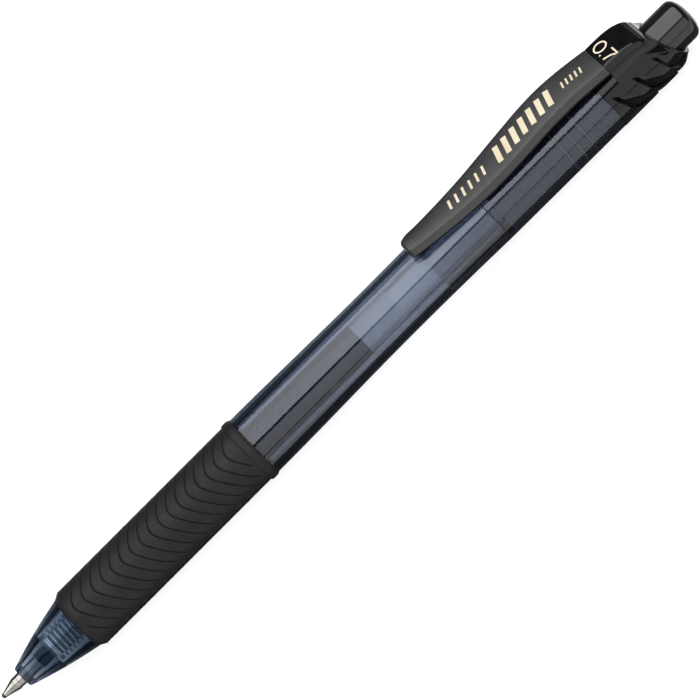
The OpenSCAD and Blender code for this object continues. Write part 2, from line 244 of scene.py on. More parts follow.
def spline(stations, x):
    """A smooth curve through (x, value) stations."""
    xs = [s[0] for s in stations]
    values = [s[1] for s in stations]
    slopes = np.gradient(values, xs)
    i = min(max(int(np.searchsorted(xs, x)) - 1, 0), len(xs) - 2)
    span = xs[i + 1] - xs[i]
    t = min(max((x - xs[i]) / span, 0), 1)
    rise = values[i] * (1 + 2 * t) * (1 - t) ** 2 + values[i + 1] * t * t * (3 - 2 * t)
    return rise + span * (slopes[i] * t * (1 - t) ** 2 - slopes[i + 1] * t * t * (1 - t))


# ---- materials ----


class Surface:
    """A procedural material, with the few node patterns that the pen's surfaces share."""

    def __init__(self, name):
        self.material = bpy.data.materials.new(name)
        self.material.use_nodes = True
        self.nodes = self.material.node_tree.nodes
        self.links = self.material.node_tree.links
        self.shader = self.nodes["Principled BSDF"]
        self.output = self.nodes["Material Output"]
        self.where = self.nodes.new("ShaderNodeTexCoord").outputs["Object"]

    def value(self, **sockets):
        """Sets plain values on the shader's own sockets."""
        for name, value in sockets.items():
            self.shader.inputs[name.replace("_", " ")].default_value = value
        return self

    def noise(self, per_mm, stretch=(1, 1, 1), detail=4.0):
        """Noise with about per_mm features in a millimetre, drawn out along an axis by stretch."""
        squeeze = self.nodes.new("ShaderNodeMapping")
        squeeze.inputs["Scale"].default_value = [1 / s for s in stretch]
        self.links.new(self.where, squeeze.inputs["Vector"])
        noise = self.nodes.new("ShaderNodeTexNoise")
        noise.inputs["Scale"].default_value = per_mm / MM
        noise.inputs["Detail"].default_value = detail
        self.links.new(squeeze.outputs["Vector"], noise.inputs["Vector"])
        return noise.outputs["Fac"]

    def turned_lines(self, per_mm):
        """Fine rings round the pen, as a lathe leaves them."""
        wave = self.nodes.new("ShaderNodeTexWave")
        wave.inputs["Scale"].default_value = per_mm / MM / 3
        wave.inputs["Distortion"].default_value = 0.6
        wave.inputs["Detail"].default_value = 1.0
        self.links.new(self.where, wave.inputs["Vector"])
        return wave.outputs["Fac"]

    def ranged(self, source, low, high, source_low=0.3, source_high=0.7):
        """Maps a 0 to 1 pattern on to low to high."""
        node = self.nodes.new("ShaderNodeMapRange")
        node.inputs["From Min"].default_value = source_low
        node.inputs["From Max"].default_value = source_high
        node.inputs["To Min"].default_value = low
        node.inputs["To Max"].default_value = high
        self.links.new(source, node.inputs["Value"])
        return node.outputs["Result"]

    def toned(self, dark, light, source):
        """Base colour that drifts between two tones."""
        mix = self.nodes.new("ShaderNodeMix")
        mix.data_type = "RGBA"
        mix.inputs["A"].default_value = (*dark, 1)
        mix.inputs["B"].default_value = (*light, 1)
        self.links.new(source, mix.inputs["Factor"])
        self.links.new(mix.outputs["Result"], self.shader.inputs["Base Color"])
        return self

    def worn(self, tint, share):
        """Lightens the base colour along the sharpest edges."""
        below = self.shader.inputs["Base Color"].links[0].from_socket
        point = self.nodes.new("ShaderNodeNewGeometry").outputs["Pointiness"]
        edge = self.ranged(point, 0, share, 0.53, 0.62)
        mix = self.nodes.new("ShaderNodeMix")
        mix.data_type = "RGBA"
        mix.inputs["B"].default_value = (*tint, 1)
        self.links.new(edge, mix.inputs["Factor"])
        self.links.new(below, mix.inputs["A"])
        self.links.new(mix.outputs["Result"], self.shader.inputs["Base Color"])
        return self

    def rough(self, low, high, source):
        """Gloss that varies between two roughnesses."""
        self.links.new(self.ranged(source, low, high), self.shader.inputs["Roughness"])
        return self

    def bump(self, source, height_mm, strength=1.0):
        """Fine relief; height_mm is how far the pattern stands up."""
        node = self.nodes.new("ShaderNodeBump")
        node.inputs["Distance"].default_value = height_mm * MM
        node.inputs["Strength"].default_value = strength
        self.links.new(source, node.inputs["Height"])
        last = self.shader.inputs["Normal"]
        if last.links:
            self.links.new(last.links[0].from_socket, node.inputs["Normal"])
        self.links.new(node.outputs["Normal"], last)
        return self

    def see_through(self, tint, absorbed_per_mm=None):
        """Clear plastic that lets lamps shine in, tinted by its thickness."""
        through = self.nodes.new("ShaderNodeBsdfTransparent")
        through.inputs["Color"].default_value = (*tint, 1)
        mix = self.nodes.new("ShaderNodeMixShader")
        path = self.nodes.new("ShaderNodeLightPath")
        self.links.new(path.outputs["Is Shadow Ray"], mix.inputs["Fac"])
        self.links.new(self.shader.outputs["BSDF"], mix.inputs[1])
        self.links.new(through.outputs["BSDF"], mix.inputs[2])
        self.links.new(mix.outputs["Shader"], self.output.inputs["Surface"])
        if absorbed_per_mm:
            density = max(absorbed_per_mm)
            volume = self.nodes.new("ShaderNodeVolumeAbsorption")
            volume.inputs["Density"].default_value = density / MM
            kept = [1 - a / density for a in absorbed_per_mm]
            volume.inputs["Color"].default_value = (*kept, 1)
            self.links.new(volume.outputs["Volume"], self.output.inputs["Volume"])
        return self


def moulded(name, dark, light, rough, bump_mm=0.002, grain_per_mm=4, worn=None, **values):
    """Moulded plastic or rubber: slow tone drift, uneven gloss and a fine grain."""
    surface = Surface(name).value(**values)
    surface.toned(dark, light, surface.ranged(surface.noise(0.35), 0, 1))
    if worn:
        surface.worn(*worn)
    surface.rough(*rough, surface.noise(0.8, detail=6))
    surface.bump(surface.noise(grain_per_mm), bump_mm)
    return surface


def clear(name, rough, tint, absorbed_per_mm, ior, glint=(1, 1, 1)):
    """Clear moulded plastic with faint flow lines along the pen; glint tints its reflections."""
    surface = Surface(name).value(Transmission_Weight=1.0, IOR=ior)
    surface.value(Specular_Tint=(*glint, 1))
    surface.toned([0.96, 0.97, 0.98], [1, 1, 1], surface.ranged(surface.noise(0.3), 0, 1))
    surface.rough(*rough, surface.noise(0.3, stretch=(6, 1, 1)))
    surface.bump(surface.noise(0.25, stretch=(12, 1, 1), detail=0), 0.0004)
    return surface.see_through(tint, absorbed_per_mm)


def metal(name, dark, light, rough, lines_per_mm=0, bump_mm=0.001):
    """Bare metal, with a lathe's fine rings or a fine grain."""
    surface = Surface(name).value(Metallic=1.0)
    surface.toned(dark, light, surface.ranged(surface.noise(1.5), 0, 1))
    surface.rough(*rough, surface.noise(3))
    relief = surface.turned_lines(lines_per_mm) if lines_per_mm else surface.noise(6)
    surface.bump(relief, bump_mm)
    return surface


SMOKE = clear(
    "smoke_plastic", (0.005, 0.015), (0.93, 0.94, 0.96), (0.94, 0.85, 0.69), ior=1.52
).material
# a darker copy of the smoke plastic for the nose, with dimmed, blue-tinted reflections: painted shade
SMOKE_NOSE_SHADED = clear(
    "smoke_plastic_nose_shaded", (0.005, 0.015), (0.93, 0.94, 0.96), (1.08, 0.95, 0.79), ior=1.52,
    glint=(0.16, 0.25, 0.36),
).material
CLEAR_TUBE = clear(
    "tube_plastic", (0.015, 0.035), (0.95, 0.96, 0.97), (0.05, 0.035, 0.03), ior=1.5
).material
FOLLOWER = clear(
    "follower_gel", (0.02, 0.05), (0.97, 0.97, 0.97), (0.03, 0.03, 0.03), ior=1.06
).material
RUBBER = moulded(
    "grip_rubber", (0.0062, 0.0050, 0.0058), (0.0095, 0.0080, 0.0090), (0.5, 0.66),
    bump_mm=0.006, grain_per_mm=7, worn=((0.03, 0.028, 0.03), 0.4), Specular_IOR_Level=0.2,
).material
CAP_GLOSS = moulded(
    "cap_plastic", (0.002, 0.002, 0.0025), (0.004, 0.004, 0.0045), (0.05, 0.11),
    bump_mm=0.0010, grain_per_mm=0.7, worn=((0.03, 0.03, 0.033), 0.25), Specular_IOR_Level=0.28,
).material
BUTTON_GLOSS = moulded(
    "button_plastic", (0.003, 0.003, 0.0035), (0.006, 0.006, 0.0065), (0.07, 0.13),
    bump_mm=0.0015, grain_per_mm=1.2, worn=((0.03, 0.03, 0.033), 0.3),
).material
CLIP_SATIN = moulded(
    "clip_plastic", (0.010, 0.0098, 0.0105), (0.015, 0.0147, 0.0155), (0.26, 0.34),
    bump_mm=0.0006, grain_per_mm=5,
).material
# a darker, less glossy copy of the clip's plastic for its sides and underside: painted shade
CLIP_SIDE_SHADED = moulded(
    "clip_plastic_side_shaded", (0.002, 0.002, 0.0022), (0.004, 0.004, 0.0044), (0.2, 0.3),
    bump_mm=0.0006, grain_per_mm=5, Specular_IOR_Level=0.08,
).material
MECHANISM = moulded(
    "mechanism_plastic", (0.045, 0.048, 0.068), (0.058, 0.062, 0.085), (0.34, 0.46),
    bump_mm=0.001, grain_per_mm=2,
).material
ROTOR_WHITE = moulded(
    "rotor_plastic", (0.40, 0.40, 0.37), (0.47, 0.47, 0.44), (0.35, 0.5), grain_per_mm=2
).material
# a near-black, dull copy of the holder's plastic for the block inside the nose: painted shade
HOLDER_SHADED = moulded(
    "holder_plastic", (0.001, 0.004, 0.013), (0.002, 0.006, 0.019), (0.35, 0.5), grain_per_mm=2,
    Specular_IOR_Level=0.1,
).material
HOLDER_GREY = moulded(
    "holder_plastic_pale", (0.17, 0.20, 0.215), (0.21, 0.24, 0.255), (0.25, 0.4), grain_per_mm=2,
    Specular_IOR_Level=0.2,
).material
INK = moulded(
    "gel_ink", (0.014, 0.014, 0.032), (0.018, 0.018, 0.038), (0.1, 0.2),
    bump_mm=0.0005, grain_per_mm=0.5,
).material
PRINT = moulded(
    "print_ink", (0.47, 0.40, 0.27), (0.56, 0.49, 0.36), (0.42, 0.6), bump_mm=0.003, grain_per_mm=8
).material
PRINT_WARM = moulded(
    "print_ink_warm", (0.62, 0.50, 0.38), (0.68, 0.56, 0.44), (0.42, 0.6), bump_mm=0.003, grain_per_mm=8
).material
TIP_METAL = metal(
    "tip_metal", (0.24, 0.23, 0.215), (0.32, 0.31, 0.29), (0.1, 0.16), lines_per_mm=14
).material
SPRING_STEEL = metal("spring_wire", (0.80, 0.82, 0.85), (0.92, 0.93, 0.95), (0.16, 0.26)).material
CARBIDE = metal("ball_carbide", (0.02, 0.02, 0.03), (0.06, 0.06, 0.07), (0.1, 0.3)).material


# ---- barrel ----


def nose_r(x):
    """Outer radius of the nose: a cone with a slight bulge."""
    t = (x - MOUTH_X) / (GRIP_X - MOUTH_X)
    return MOUTH_R + (NOSE_R - MOUTH_R) * t + NOSE_BULGE * math.sin(math.pi * t)


def body_r(x):
    """Outer radius of the front barrel behind the grip."""
    if x < WAIST_X:
        t = (WAIST_X - x) / (WAIST_X - GRIP_END_X)
        return WAIST_R + (SHOULDER_R - WAIST_R) * (1 - math.cos(math.pi * t)) / 2
    t = (x - WAIST_X) / (SEAM_X - WAIST_X)
    return WAIST_R + (SEAM_R - WAIST_R) * t * t


def add_front_barrel():
    """Two shells that meet out of sight under the grip: the nose looks deeper in colour because its copy of
    the plastic absorbs more and has dimmed, blue-tinted reflections, which is painted shade.
    """
    meet_x, meet_bore_r = 17.0, 3.6
    throat_x, throat_r = 5.64, 1.55
    seat_r, seat_bore_r = 2.85, 2.1
    nose = [(x, nose_r(x), 0) for x in np.linspace(MOUTH_X + 0.2, GRIP_X - 0.1, 28)]
    corners = [(MOUTH_X, MOUTH_R - 0.03, 0.08), *nose, (GRIP_X, NOSE_R), (GRIP_X, NECK_R)]
    corners += [(meet_x, NECK_R, 0), (meet_x, meet_bore_r, 0), (GRIP_X, 3.4, 0.3)]
    corners += [(SPRING_SEAT_X, seat_r), (SPRING_SEAT_X, seat_bore_r)]
    corners += [(throat_x, throat_r), (throat_x, MOUTH_BORE_R), (MOUTH_X, MOUTH_BORE_R, 0.08)]
    add_lathe("nose_shell", corners, "front", "smoke_plastic", SMOKE_NOSE_SHADED, ["front_barrel"])

    body = [(x, body_r(x), 0) for x in np.linspace(GRIP_END_X + 0.1, SEAM_X - 0.15, 60)]
    corners = [(meet_x, meet_bore_r, 0), (meet_x, NECK_R, 0), (GRIP_END_X, NECK_R)]
    corners += [(GRIP_END_X, SHOULDER_R), *body, (SEAM_X, SEAM_R, 0.1), (SEAM_X, SOCKET_R, 0.1)]
    corners += [(SOCKET_X, SOCKET_R), (SOCKET_X, BORE_R), (BORE_X, BORE_R, 0.3)]
    add_lathe("front_barrel_shell", corners, "front", "smoke_plastic", SMOKE, ["front_barrel"])


def notch(low_x, high_x, r, bottom_r, fillet):
    """Corners of a square notch or ring in a round outline, in the order given by the two places."""
    return [(low_x, r, fillet), (low_x, bottom_r, fillet), (high_x, bottom_r, fillet), (high_x, r, fillet)]


def add_rear_barrel():
    """The rear barrel with its threaded spigot, and a near-black ring at the seam before it: painted shade
    where the seam looks dark.
    """
    swell_x, swell_r = 115.0, 5.39
    # a little tighter than the sleeve's rings, so that no pale gap shows round them
    recess_half, recess_r = 0.2, 4.88
    step_x = SLEEVE_X - 0.1
    corners = [(SEAM_X, SEAM_R, 0.1), (swell_x, swell_r, 0.5), (CAP_X, REAR_R), (CAP_X, REAR_BORE_R)]
    for x in reversed(RING_X):
        corners += notch(x + recess_half, x - recess_half, REAR_BORE_R, recess_r, 0.02)
    corners += [(step_x, REAR_BORE_R), (step_x, SPIGOT_BORE_R), (SPIGOT_X, SPIGOT_BORE_R)]
    corners += [(SPIGOT_X, SPIGOT_R, 0.2)]
    crest_r = SPIGOT_R + THREAD_HEIGHT
    for i in range(THREADS):
        x = THREAD_X + THREAD_PITCH * i
        corners += [(x, SPIGOT_R, 0.04), (x + 0.22, crest_r), (x + 0.38, crest_r), (x + 0.6, SPIGOT_R, 0.04)]
    corners += [(SEAM_X, SPIGOT_R)]
    add_lathe("rear_barrel_shell", corners, "rear", "smoke_plastic", SMOKE, ["rear_barrel"])
    # a near-black ring set into the seam: painted shade, not a part of the pen
    seam_half, seam_depth_r = 0.1, 4.6
    seam = notch(SEAM_X - seam_half, SEAM_X + seam_half, seam_depth_r, SEAM_R, 0)
    add_lathe("seam_shade_ring", seam, "rear", "smoke_plastic", CAP_GLOSS)


# ---- grip ----

GROOVE_PITCH = 2.0
FIRST_GROOVE_X = 17.67
GROOVES = 17
GROOVE_APEX = 22.0  # degrees from the clip's side, towards the near side
ARM_SLOPE = 0.70
APEX_ROUND = 1.4
GROOVE_DEPTH, GROOVE_WIDTH = 0.17, 0.085
LIP_HEIGHT, LIP_AHEAD, LIP_WIDTH = 0.03, 0.3, 0.17
# where the rows of points lie from one groove to the next, from the groove's middle
ROW_STEPS = (-0.7, -0.48, -0.36, -0.26, -0.17, -0.11, -0.06, 0, 0.06, 0.11, 0.17, 0.5)


def arch(angle_deg):
    """How far back the grooves run at an angle round the grip: two families, on opposite sides."""
    from_apex = (angle_deg + GROOVE_APEX + 90) % 180 - 90
    side = math.radians(from_apex) * GRIP_R
    return ARM_SLOPE * (math.sqrt(side**2 + APEX_ROUND**2) - APEX_ROUND)


def groove_strength(angle_deg):
    """The grooves are deepest at their apex and run out towards the next family."""
    from_apex = abs((angle_deg + GROOVE_APEX + 90) % 180 - 90)
    return 1 - 0.85 * smooth_step((from_apex - 58) / 28)


def groove_relief(u):
    """Height of the grip's surface at a place u along the row of grooves."""
    nearest = round((u - FIRST_GROOVE_X) / GROOVE_PITCH)
    nearest = min(nearest, GROOVES - 1)
    away = u - FIRST_GROOVE_X - nearest * GROOVE_PITCH
    lip = LIP_HEIGHT * math.exp(-(((away + LIP_AHEAD) / LIP_WIDTH) ** 2))
    return lip - GROOVE_DEPTH * math.exp(-((away / GROOVE_WIDTH) ** 2))


def add_grip():
    """The rubber grip; its rows of points follow the grooves, so that every groove is crisp."""
    columns = 288
    start_x, stop_x = 17.0, 51.9  # the grooved stretch
    collar_x, collar_end_x = 52.24, 53.2
    inner_r = NECK_R + 0.01
    pitches = range(-3, int((stop_x - FIRST_GROOVE_X) / GROOVE_PITCH) + 2)
    along = [FIRST_GROOVE_X + k * GROOVE_PITCH + step for k in pitches for step in ROW_STEPS]
    points, column_rows = [], []
    for j in range(columns):
        angle = 360 * j / columns
        turn = math.radians(angle)
        shift = arch(angle)
        strength = groove_strength(angle)
        numbers = []
        for i, u in enumerate(along):
            x = u + shift
            clamped = min(max(x, start_x), stop_x)
            if numbers and (x <= start_x or along[i - 1] + shift >= stop_x):
                numbers.append(numbers[-1])
                continue
            fade = smooth_step((clamped - start_x) / 0.25) * smooth_step((stop_x - clamped) / 0.5)
            r = GRIP_R + groove_relief(clamped - shift) * fade * strength
            numbers.append(len(points))
            points.append((clamped, r * math.sin(turn), r * math.cos(turn)))
        column_rows.append(numbers)
    rings = [[column[i] for column in column_rows] for i in range(len(along))]
    faces = joined_rings(zip(rings, rings[1:]))
    rear = [(collar_x, COLLAR_R), (collar_end_x, COLLAR_R), (GRIP_END_X, GRIP_R), (GRIP_END_X, inner_r)]
    front = [(GRIP_X, inner_r), (GRIP_X, GRIP_FRONT_R, 0.12), (start_x, GRIP_R, 0)]
    profile = filleted([(stop_x, GRIP_R, 0), *rear, *front])
    loops = [rings[-1]]
    turn = np.arange(columns) * 2 * math.pi / columns
    for x, r in profile[1:-1]:
        loops.append(range(len(points), len(points) + columns))
        points += zip([x] * columns, r * np.sin(turn), r * np.cos(turn))
    loops.append(rings[0])
    faces += joined_rings(zip(loops, loops[1:]))
    add_piece("grip_skin", points, faces, "front", "grip_rubber", RUBBER, ["rubber_grip"], sharp=50)


# ---- writing tip and refill ----


def add_tip():
    """The turned metal tip, and the film of ink round its rim."""
    rim_x, ball_bore_r = 0.24, 0.36
    collar_x, waist_r = 2.82, 1.075
    ball_seat_x, ink_bore_r, channel_r = 0.72, 0.4, 0.16
    corners = [(rim_x, ball_bore_r, 0.01), (rim_x, 0.40, 0.02), (0.45, 0.44, 0.03), (0.72, 0.5, 0.1)]
    corners += [(2.74, 1.07, 0.04), (collar_x, SHANK_R, 0.03), (3.3, SHANK_R, 0.02)]
    corners += [(3.36, waist_r, 0.02), (3.5, waist_r, 0.02), (3.56, SHANK_R, 0.02)]
    corners += [(HOLDER_X, SHANK_R), (HOLDER_X, SHANK_BORE_R), (SHANK_END_X, SHANK_BORE_R)]
    corners += [(SHANK_END_X, ink_bore_r), (0.8, ink_bore_r, 0.02), (0.8, channel_r, 0.01)]
    corners += [(ball_seat_x, channel_r, 0.01), (ball_seat_x, ball_bore_r, 0.02)]
    add_lathe("tip_cone_turned", corners, "refill", "tip_metal", TIP_METAL, ["tip_cone"], sides=160)
    film = [(0.2, 0.37, 0.01), (0.2, 0.41, 0.02), (0.45, 0.452, 0.03), (0.56, 0.475, 0.02)]
    film += [(0.56, 0.37, 0.01)]
    add_lathe("inked_rim", film, "refill", "gel_ink", CAP_GLOSS, sides=160)


def add_holder():
    """The block round the tip's shank, near-black blue as painted shade where the nose looks dark, and the
    paler body with its rings and flange.
    """
    block_end_x, block_r = 10.25, 1.3
    stem_r, ring_depth_r = 1.9, 1.82
    block = [(HOLDER_X, HOLDER_BORE_R), (HOLDER_X, block_r, 0.1), (block_end_x, block_r)]
    block += [(block_end_x, HOLDER_BORE_R)]
    # the block takes the painted-shade copy of the holder's plastic
    add_lathe("holder_block", block, "refill", "holder_plastic", HOLDER_SHADED, ["tip_holder"], sides=160)
    corners = [(block_end_x, HOLDER_BORE_R), (block_end_x, block_r, 0.1), (12, stem_r, 0.3)]
    for x in np.arange(14, 32, 3.5):
        corners += [(x, stem_r, 0.05), (x + 0.1, ring_depth_r, 0.05)]
        corners += [(x + 0.5, ring_depth_r, 0.05), (x + 0.6, stem_r, 0.05)]
    plug_r = TUBE_BORE_R - 0.01
    corners += [(FLANGE_X, stem_r), (FLANGE_X, FLANGE_R, 0.15), (TUBE_X, FLANGE_R, 0.15)]
    corners += [(TUBE_X, plug_r), (HOLDER_END_X, plug_r, 0.2), (HOLDER_END_X, 0.8)]
    corners += [(SHANK_END_X, 0.8), (SHANK_END_X, HOLDER_BORE_R)]
    add_lathe("holder_body", corners, "refill", "holder_plastic", HOLDER_GREY, ["tip_holder"], sides=160)


def meniscus(x, depth, wall_r):
    """The hollow end of a liquid in the tube, from the wall to the axis."""
    return [(x - depth * (1 - (r / wall_r) ** 2), r, 0) for r in np.linspace(wall_r, 0, 10)]


def add_refill():
    """The clear tube, the ink in it and the clear grease behind the ink."""
    tube = [(TUBE_X, TUBE_BORE_R), (TUBE_X, TUBE_R), (TUBE_END_X, TUBE_R), (TUBE_END_X, TUBE_BORE_R)]
    add_lathe("refill_tube_wall", tube, "refill", "tube_plastic", CLEAR_TUBE, ["refill_tube"])
    wet_r = TUBE_BORE_R + 0.006  # a little into the wall, so that no air shows between
    ink_end = meniscus(INK_END_X, 0.9, wet_r)
    ink = [(INK_X, 0, 0), (INK_X, wet_r, 0), *ink_end]
    add_lathe("ink_body", ink, "refill", "gel_ink", INK, ["ink_column"], sides=160)
    start = [(x + 0.01, r, 0) for x, r, _ in reversed(ink_end)]
    grease = start + meniscus(FOLLOWER_END_X, 0.1, wet_r)
    add_lathe("follower_body", grease, "refill", "follower_gel", FOLLOWER, ["ink_follower"], sides=160)


def coil(x0, x1, r, wire_r, turns, closed, tight, steps, sides):
    """A wound wire whose end turns, closed in number, are only tight times as far apart."""
    count = turns * steps
    ends = closed * tight / turns
    middle = (1 - 2 * ends) / (turns - 2 * closed)
    rings = []
    for i in range(count + 1):
        share = i / steps
        if share < closed:
            along = share * tight / turns
        elif share > turns - closed:
            along = 1 - (turns - share) * tight / turns
        else:
            along = ends + (share - closed) * middle
        x = x0 + (x1 - x0) * along
        turn = 2 * math.pi * i / steps
        ring = []
        for j in range(sides):
            side = 2 * math.pi * j / sides
            out = r + wire_r * math.cos(side)
            ring.append((x + wire_r * math.sin(side), out * math.sin(turn), out * math.cos(turn)))
        rings.append(ring)
    return loft(rings)


def add_return_spring():
    """The return spring, which stretches between the barrel's seat and the holder's flange."""
    wire_r = 0.165
    clear_of_seat = wire_r + 0.01
    points, faces = coil(
        SPRING_SEAT_X + clear_of_seat, FLANGE_X - clear_of_seat, r=2.4, wire_r=wire_r,
        turns=31, closed=2, tight=0.5, steps=48, sides=14,
    )
    spring = add_piece(
        "return_spring_wire", points, faces, None, "spring_wire", SPRING_STEEL, ["return_spring"]
    )
    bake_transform(spring)


# ---- knock mechanism ----


def fine_groove(x):
    """Corners of a fine groove round the sleeve."""
    bottom_r = SLEEVE_R - 0.16
    corners = [(x - 0.08, SLEEVE_R, 0.02), (x - 0.05, bottom_r, 0.02)]
    return corners + [(x + 0.05, bottom_r, 0.02), (x + 0.08, SLEEVE_R, 0.02)]


def add_sleeve():
    """The guide sleeve with its rings outside and its four guide ribs inside."""
    rib_x, rib_end_x, rib_half, rib_r = 115.7, 127, 0.6, 3.12
    root_r = SLEEVE_BORE_R + 0.05
    corners = [(SLEEVE_X, SLEEVE_BORE_R), (SLEEVE_X, SLEEVE_R), *fine_groove(116.3)]
    for x in RING_X:
        corners += notch(x - RING_HALF, x + RING_HALF, SLEEVE_R, RING_R, EDGE)
    corners += [*fine_groove(123.5), (SLEEVE_END_X, SLEEVE_R, 0.15), (SLEEVE_END_X, SLEEVE_BORE_R)]
    solids = [lathe(filleted(corners))]
    for turn in (0, 90, 180, 270):
        section = [(-rib_half, rib_r), (rib_half, rib_r), (rib_half, root_r, 0), (-rib_half, root_r, 0)]
        rib = [[(x, y, z) for y, z in filleted(section)] for x in (rib_x, rib_end_x)]
        points, faces = loft(rib)
        spin = Matrix.Rotation(math.radians(turn), 3, "X")
        solids.append(([tuple(spin @ Vector(p)) for p in points], faces))
    add_piece(
        "cam_sleeve_body", *joined(*solids), "tail", "mechanism_plastic", MECHANISM, ["cam_sleeve"]
    )


def add_ring_shadows():
    """Near-black rings beside the sleeve's rings, where they snap into the rear barrel: painted shadows."""
    width, low_r, high_r = 0.1, SLEEVE_R + 0.005, SLEEVE_R + 0.065
    solids = []
    for x in RING_X:
        for start_x in (x - RING_HALF - width, x + RING_HALF):
            outline = [(px, r) for px, r, _ in notch(start_x, start_x + width, low_r, high_r, 0)]
            solids.append(lathe(outline))
    # thin near-black rings beside each snap ring: painted shadows
    add_piece("ring_shadows", *joined(*solids), "tail", "mechanism_plastic", CAP_GLOSS)


def add_button():
    """The hollow knock button with its rounded end and its flange inside the cap."""
    round_x, round_r = PEN_LENGTH - 1.75, 1.5
    bore_x, bore_r = 137, 2.86
    flange_r, flange_end_x = 4.05, BUTTON_X + 0.8
    rounding = [
        (round_x + round_r * math.sin(a), BUTTON_R - round_r * (1 - math.cos(a)), 0)
        for a in np.linspace(0, math.radians(80), 14)
    ]
    end_x, end_r = rounding[-1][:2]
    dome = [
        (end_x + (PEN_LENGTH - end_x) * math.sin(a), end_r * math.cos(a), 0)
        for a in np.linspace(0.12, math.pi / 2, 14)
    ]
    dome[-1] = (PEN_LENGTH, 0, 0)
    corners = [(BUTTON_X, bore_r), (BUTTON_X, flange_r, 0.1), (flange_end_x, flange_r)]
    corners += [(flange_end_x, BUTTON_R), *rounding, *dome, (bore_x, 0, 0), (bore_x, bore_r)]
    add_lathe("button_shell", corners, "button", "button_plastic", BUTTON_GLOSS, ["knock_button"])


# ---- clip ----

# x, height of the top face, half width of the top face
CLIP_STATIONS = [
    (CLIP_X, 7.88, 1.1), (91.65, 7.93, 1.5), (93.8, 7.7, 1.68), (96.5, 7.5, 1.9), (100, 7.32, 2.2),
    (104, 7.3, 2.5), (108.5, 7.6, 2.78), (113.4, 8.1, 2.95), (117.5, 8.53, 3.0), (121, 8.67, 3.0),
    (124.5, 8.48, 2.9), (127.5, 8.08, 2.8), (CLIP_ROOT_X, 7.58, 2.68),
]
CLIP_HEIGHTS = [(x, z) for x, z, _ in CLIP_STATIONS]
CLIP_WIDTHS = [(x, half) for x, _, half in CLIP_STATIONS]
CLIP_THICK = 1.55
BEVEL_OUT, BEVEL_DROP = 0.65, 1.1
CROWN = 0.07
PAD_X, PAD_LENGTH_HALF, PAD_HALF = 94.4, 1.6, 1.3
PAD_GAP = 0.12
TONGUE_HALF, TONGUE_LOW, TONGUE_HIGH = 1.8, 6.1, 7.0  # the clip's root, hidden in the hump


def clip_top(x, y=0.0):
    """Height of the clip's slightly crowned top face."""
    return spline(CLIP_HEIGHTS, x) - CROWN * (y / spline(CLIP_WIDTHS, x)) ** 2


def clip_section(x, inset):
    """The clip's outline across the pen at x, drawn in by inset near an end."""
    half = spline(CLIP_WIDTHS, x) - inset
    top = spline(CLIP_HEIGHTS, x)
    low = top - CLIP_THICK + inset
    out = half + BEVEL_OUT
    edge_z = top - BEVEL_DROP
    top -= inset
    corners = [(out, edge_z, 0.16), (half, top - CROWN, 0.1)]
    corners += [(half * s, top - CROWN * s * s, 0) for s in (0.7, 0.35, 0, -0.35, -0.7)]
    corners += [(-half, top - CROWN, 0.1), (-out, edge_z, 0.16), (-out, low, 0.3), (out, low, 0.3)]
    return [(x, y, z) for y, z in filleted(corners)]


def rounded_ends(x0, x1, edge0, edge1, steps=7, middle=90):
    """Stations from x0 to x1 with the inset that rounds off each end."""
    stations = []
    for k in range(steps):
        a = math.pi / 2 * k / steps
        stations.append((x0 + edge0 * (1 - math.cos(a)), edge0 * (1 - math.sin(a))))
    stations += [(x, 0) for x in np.linspace(x0 + edge0, x1 - edge1, middle)]
    for k in reversed(range(steps)):
        a = math.pi / 2 * k / steps
        stations.append((x1 - edge1 * (1 - math.cos(a)), edge1 * (1 - math.sin(a))))
    return stations


def block_section(x, half, low, high, top_fillet, low_fillet):
    """A rectangle across the pen at x, with rounded corners."""
    corners = [(half, high, top_fillet), (-half, high, top_fillet)]
    corners += [(-half, low, low_fillet), (half, low, low_fillet)]
    return [(x, y, z) for y, z in filleted(corners)]


def add_clip():
    """The blade, the pad under its free end and the tongue at its root; its sides and underside get a
    darker, duller copy of its plastic, which is painted shade.
    """
    blade = [clip_section(x, inset) for x, inset in rounded_ends(CLIP_X, CLIP_ROOT_X, 0.5, 0.06)]
    pad, tongue = [], []
    pad_low, pad_high = body_r(PAD_X) + PAD_GAP, clip_top(PAD_X) - 1.2
    pad_ends = (PAD_X - PAD_LENGTH_HALF, PAD_X + PAD_LENGTH_HALF)
    for x, inset in rounded_ends(*pad_ends, 0.6, 0.6, middle=5):
        pad.append(block_section(x, PAD_HALF - inset / 2, pad_low + inset, pad_high, 0, 0.2))
    for x, inset in rounded_ends(CLIP_ROOT_X - 0.3, CLIP_END_X, 0.05, 0.15, middle=4):
        low, high = TONGUE_LOW + inset, TONGUE_HIGH - inset
        tongue.append(block_section(x, TONGUE_HALF - inset, low, high, 0.15, 0.15))
    solid = joined(loft(blade), loft(tongue), loft(pad))
    clip = add_piece("clip_blade", *solid, "clip", "clip_plastic", CLIP_SATIN, ["pocket_clip"])
    clip.data.materials.append(CLIP_SIDE_SHADED)
    # faces on the sides and underside take the painted-shade copy of the clip's plastic
    upright, facing_down = 0.9, -0.4
    for face in clip.data.polygons:
        if abs(face.normal.y) > upright or face.normal.z < facing_down:
            face.material_index = 1


# ---- cap ----

# x and the height of the hump's ridge
HUMP_TOP = [
    (CLIP_ROOT_X, 7.57), (132.6, 7.54), (134.7, 7.36), (136.6, 6.76), (137.5, 6.2), (138.1, 5.55),
    (138.6, 4.75), (138.9, 4.28), (139.5, 3.9), (140.5, 3.2),
]
HUMP_HALF, HUMP_SIDE = 2.66, 3.4
